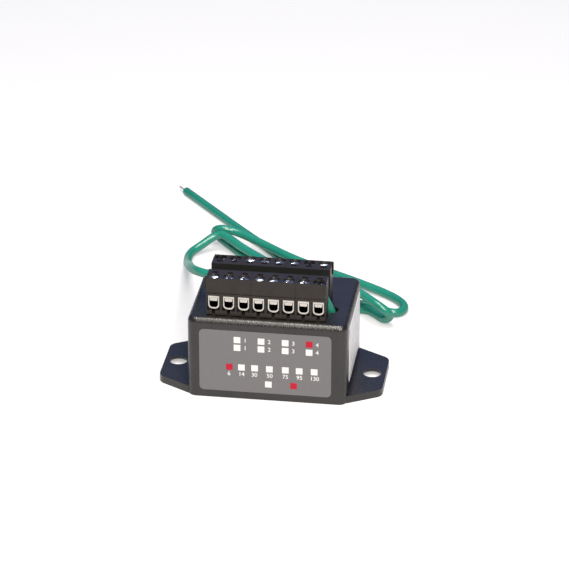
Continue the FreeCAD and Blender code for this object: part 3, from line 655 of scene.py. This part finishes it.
class PROTECTOR_OT_ground_wire(bpy.types.Operator):
    """Green ground wire with its bare strands"""

    bl_idname = "protector.ground_wire"
    bl_label = "Ground wire"

    def execute(self, context):
        sizes, colours = settings()
        material = wire_material(colours.wire)
        route = [Vector(point) * MM for point in WIRE_ROUTE]
        curve = wire_curve("ground_wire_visual", route, sizes.wire_diameter)
        wire = new_object("ground_wire_visual", curve, material, "wire_green", "ground_wire")
        dress("ground_wire_tail", material)

        end = route[-1]
        onward = (end - route[-2]).normalized()
        side = onward.cross(Vector((0, 0, 1))).normalized()
        rise = side.cross(onward).normalized()
        copper = metal("Tinned strands", (0.52, 0.49, 0.43), 0.35, 0.5, 0.1, mirror=0.5)
        data = bpy.data.curves.new("strands_visual", "CURVE")
        data.dimensions = "3D"
        data.bevel_depth = sizes.strand_diameter / 2
        data.bevel_resolution = 3
        data.use_fill_caps = True
        reach = 0.0054
        sunk = 0.0004  # back into the insulation
        twist = 2.2
        fan = 0.15  # how much wider the bundle is at its tip
        steps = 9
        for number in range(sizes.strand_count + 1):
            start = 2 * math.pi * number / sizes.strand_count
            ring = 0.0 if number == sizes.strand_count else sizes.strand_diameter
            spline = data.splines.new("NURBS")
            spline.points.add(steps - 1)
            for step in range(steps):
                along = step / (steps - 1)
                angle = start + twist * along
                spread = ring * (1.0 + fan * along)
                place = end + onward * (reach * along - sunk)
                place += side * (spread * math.cos(angle)) + rise * (spread * math.sin(angle))
                spline.points[step].co = (place.x, place.y, place.z, 1.0)
            spline.order_u = 4
            spline.use_endpoint_u = True
        strands = new_object("strands_visual", data, copper, "strand_copper", "ground_wire_strands")
        return {"FINISHED"}


class PROTECTOR_OT_housing(bpy.types.Operator):
    """Moulded box, its potting and what the potting seals"""

    bl_idname = "protector.housing"
    bl_label = "Housing"

    def execute(self, context):
        colours = settings()[1]
        dress("housing", plastic("Housing plastic", tuple(colours.housing), 0.35, 0.46, 0.60, 0.64,
                                 glints=0.12))
        dress("potting_compound", plastic("Potting", (0.02, 0.02, 0.021), 0.22, 0.2, 0.07))
        dress("circuit_board", plastic("Solder mask", (0.01, 0.09, 0.035), 0.3, 0.6, 0.05))
        dress("suppressor_diodes", plastic("Diode body", (0.012, 0.012, 0.012), 0.45, 0.8, 0.2))
        return {"FINISHED"}


class PROTECTOR_OT_terminals(bpy.types.Operator):
    """Terminal blocks with their screws, clamps and contact bars"""

    bl_idname = "protector.terminals"
    bl_label = "Terminals"

    def execute(self, context):
        colours = settings()[1]
        # The blocks get painted shade in their cavities and in the channel between the rows.
        block = plastic("Block plastic", tuple(colours.block), 0.40, 1.2, 0.2, 0.38, recess=True)
        # Clamps and bars get painted shade inside the blocks' cavities.
        tin = metal("Tin plate", tuple(colours.tin), 0.34, 0.9, 0.08, shade_from=0.00086)
        bar = metal("Bar plate", tuple(colours.tin), 0.30, 0.7, 0.06, shade_from=0.00080)
        for start, material in (("terminal_block", block), ("wire_clamp", tin),
                                ("contact_bars", bar)):
            for name in nodes_named(start):
                dress(name, material)
        zinc = tuple(colours.zinc)
        # Painted light and shade: the first kind is a lighter copy of the zinc, the last a darker
        # one; blue is the zinc itself.
        kinds = {"painted_lit": screw_material("Screw painted lit", (0.80, 0.84, 0.90), 0.45, (0.0, -0.38)),
                 "blue": screw_material("Blue screw", zinc, 0.40, (0.04, -0.16)),
                 "painted_dark": screw_material("Screw painted dark", tuple(part * 0.45 for part in zinc), 0.30,
                                        (-0.05, 0.05))}
        for row, looks in SCREW_LOOKS.items():
            for number, look in enumerate(looks, start=1):
                dress("clamp_screw_%s_%d" % (row, number), kinds[look])
        return {"FINISHED"}


class PROTECTOR_OT_labels(bpy.types.Operator):
    """Paper labels with check boxes and plain numbers"""

    bl_idname = "protector.labels"
    bl_label = "Labels"

    def execute(self, context):
        sizes, colours = settings()
        grey = print_material("Grey label", tuple(colours.label_grey), 0.42)
        white = print_material("White print", tuple(colours.label_white), 0.5)
        red = print_material("Red print", tuple(colours.red), 0.45)
        low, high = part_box("front_label")
        plate = rounded_plate("front_label_visual", low, high, sizes.label_corner, PLATE_BEVEL)
        new_object("front_label_visual", plate, grey, "label_grey", "front_label")
        face = low[1]
        half = sizes.check_side / 2
        for number, (across, up, filled) in enumerate(CHECK_BOXES, start=1):
            corner = Vector((across * MM - half, face - sizes.ink, up * MM - half))
            opposite = Vector((across * MM + half, face, up * MM + half))
            name = "check_box_%02d" % number
            mesh = rounded_plate(name, corner, opposite, CHECK_CORNER, 0.0)
            new_object(name, mesh, red if filled else white, "label_grey")
        for number, (text, across, up) in enumerate(NUMBERS, start=1):
            middle = Vector((across * MM, face, up * MM))
            mesh = number_mesh(text, sizes.digit_height, middle, sizes.ink)
            new_object("number_%02d" % number, mesh, white, "label_grey")
        low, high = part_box("side_label")
        plate = rounded_plate("side_label_visual", low, high, SIDE_LABEL_CORNER, PLATE_BEVEL)
        paper = print_material("Side label", (0.84, 0.84, 0.85), 0.5, (1.0, 1100.0, 260.0))
        new_object("side_label_visual", plate, paper, "label_white", "side_label")
        return {"FINISHED"}


class PROTECTOR_PT_panel(bpy.types.Panel):
    """Buttons for every group of pieces"""

    bl_label = "Surge protector"
    bl_idname = "PROTECTOR_PT_panel"
    bl_space_type = "VIEW_3D"
    bl_region_type = "UI"
    bl_category = "Protector"

    def draw(self, context):
        for operator in OPERATORS:
            self.layout.operator(operator.bl_idname)
        for group in (context.scene.protector_sizes, context.scene.protector_colours):
            for name in group.bl_rna.properties.keys():
                if name not in ("rna_type", "name"):
                    self.layout.prop(group, name)


OPERATORS = (PROTECTOR_OT_stage, PROTECTOR_OT_ground_wire, PROTECTOR_OT_housing,
             PROTECTOR_OT_terminals, PROTECTOR_OT_labels)
CLASSES = (ProtectorSizes, ProtectorColours) + OPERATORS + (PROTECTOR_PT_panel,)


def register():
    for item in CLASSES:
        bpy.utils.register_class(item)
    bpy.types.Scene.protector_sizes = PointerProperty(type=ProtectorSizes)
    bpy.types.Scene.protector_colours = PointerProperty(type=ProtectorColours)


def unregister():
    del bpy.types.Scene.protector_colours
    del bpy.types.Scene.protector_sizes
    for item in reversed(CLASSES):
        bpy.utils.unregister_class(item)


def main():
    register()
    bpy.ops.protector.stage()
    bpy.ops.protector.ground_wire()
    bpy.ops.protector.housing()
    bpy.ops.protector.terminals()
    bpy.ops.protector.labels()


if __name__ == "__main__":
    main()
